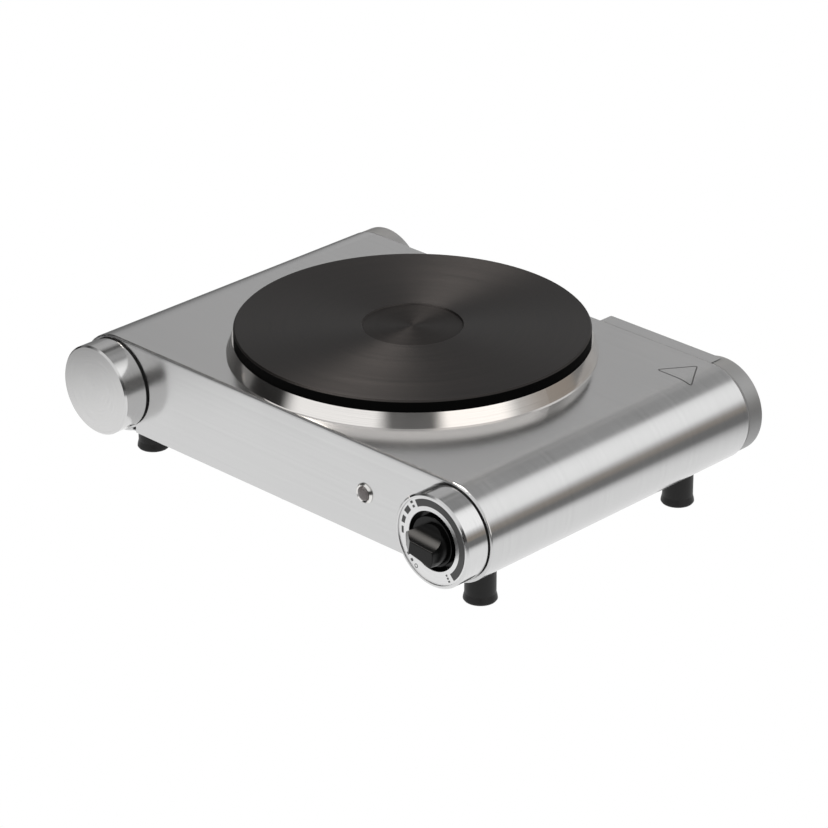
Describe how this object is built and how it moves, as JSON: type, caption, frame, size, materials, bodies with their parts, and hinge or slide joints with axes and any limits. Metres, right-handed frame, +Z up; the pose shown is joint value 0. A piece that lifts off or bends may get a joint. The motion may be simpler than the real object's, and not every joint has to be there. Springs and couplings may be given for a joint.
{
  "type": "hot plate burner",
  "caption": "Electric hot plate with a round cast-iron plate on a low brushed-steel body with rolled barrel sides, a rotary heat control and an indicator lamp.",
  "frame": {"origin": "middle of the footprint's bounding box, on the surface that the feet stand on", "axes": "+X to the user's right along the front panel, +Y from the front panel to the back, +Z up"},
  "size_m": [0.2964, 0.2302, 0.0849],
  "materials": {
    "body_steel": "fine brushed stainless, grain along the deck's width",
    "cap_steel": "satin with a turned face and a bright bevel",
    "dial_print": "fine satin, printed scale",
    "polished_rim": "polished stainless",
    "cast_iron": "turned and black-coated",
    "black_plastic": "semi-gloss moulded",
    "foot_rubber": "matt moulded",
    "seal_rubber": "matt",
    "seal_grey": "matt",
    "grommet_rubber": "matt moulded",
    "zinc_sheet": "zinc-coated sheet with a faint spangle",
    "bright_shield": "bright rolled",
    "zinc_screws": "bright zinc plated",
    "turned_steel": "turned steel",
    "brass_parts": "plain",
    "bimetal": "rolled strip",
    "moulded_phenolic": "moulded phenolic",
    "steatite": "unglazed steatite ceramic",
    "coil_wire": "oxidised resistance wire",
    "chrome_bezel": "bright",
    "clear_lens": "clear moulded, faintly pink",
    "white_plastic": "moulded",
    "wire_insulation": "heat-proof sleeving"
  },
  "bodies": {
    "body": {"base_plate": "zinc_sheet", "base_screws": "zinc_screws", "bimetal_strip": "bimetal", "cap_screws": "zinc_screws", "cap_seal_front_left": "seal_rubber", "cap_seal_front_right": "seal_rubber", "cap_seal_rear_left": "seal_grey", "cap_seal_rear_right": "seal_grey", "clamp_nut": "zinc_screws", "clamp_strap": "zinc_sheet", "clamp_washer": "zinc_screws", "coil_cement_inner": "steatite", "coil_cement_outer": "steatite", "control_cap": "cap_steel", "cord_grommet": "grommet_rubber", "cover_screws": "zinc_screws", "dial_plate": "dial_print", "earth_screw": "zinc_screws", "earth_tag": "zinc_sheet", "end_cap_front_left": "cap_steel", "end_cap_rear_left": "cap_steel", "end_cap_rear_right": "cap_steel", "fixed_contact": "brass_parts", "foot_front_left": "foot_rubber", "foot_front_right": "foot_rubber", "foot_rear_left": "foot_rubber", "foot_rear_right": "foot_rubber", "foot_screws": "zinc_screws", "front_panel": "body_steel", "heat_shield": "bright_shield", "heating_coil_inner": "coil_wire", "heating_coil_outer": "coil_wire", "hotplate_casting": "cast_iron", "housing_shell": "body_steel", "knob_well": "black_plastic", "lamp_bezel": "chrome_bezel", "lamp_body": "white_plastic", "lamp_clip": "zinc_screws", "lamp_lens": "clear_lens", "mains_block_screws": "zinc_screws", "mains_terminal_block": "white_plastic", "plate_bottom_cover": "zinc_sheet", "plate_stud": "zinc_screws", "plate_terminal_block": "steatite", "plate_terminals": "brass_parts", "rear_cover": "body_steel", "rear_panel": "body_steel", "rim_ring": "polished_rim", "spacer_sleeve": "zinc_screws", "thermal_fuse": "white_plastic", "thermostat_body": "moulded_phenolic", "thermostat_bracket": "zinc_sheet", "thermostat_bush": "brass_parts", "thermostat_terminals": "brass_parts", "wiring": "wire_insulation"},
    "knob": {"knob": "black_plastic", "knob_clip": "zinc_screws", "spindle": "turned_steel"},
    "actuator_pin": {"actuator_pin": "steatite"},
    "contact_arm": {"contact_arm": "brass_parts"}
  },
  "joints": [
    {"name": "knob_turn", "type": "hinge", "parent": "body", "child": "knob", "pos_m": [0.1222, -0.10405, 0.04455], "axis": [0, 1, 0], "range_deg": [-55, 230]},
    {"name": "actuator_slide", "type": "slide", "parent": "body", "child": "actuator_pin", "axis": [0, 1, 0], "range_m": [-0.00012, 0.00049]},
    {"name": "contact_swing", "type": "hinge", "parent": "body", "child": "contact_arm", "pos_m": [0.1222, -0.07, 0.03695], "axis": [-1, 0, 0], "range_deg": [-0.95, 3.7]}
  ],
  "couplings": [
    {"joint": "actuator_slide", "follows": "knob_turn", "m_per_rad": 0.00011937},
    {"joint": "contact_swing", "follows": "knob_turn", "ratio": 0.015706}
  ]
}
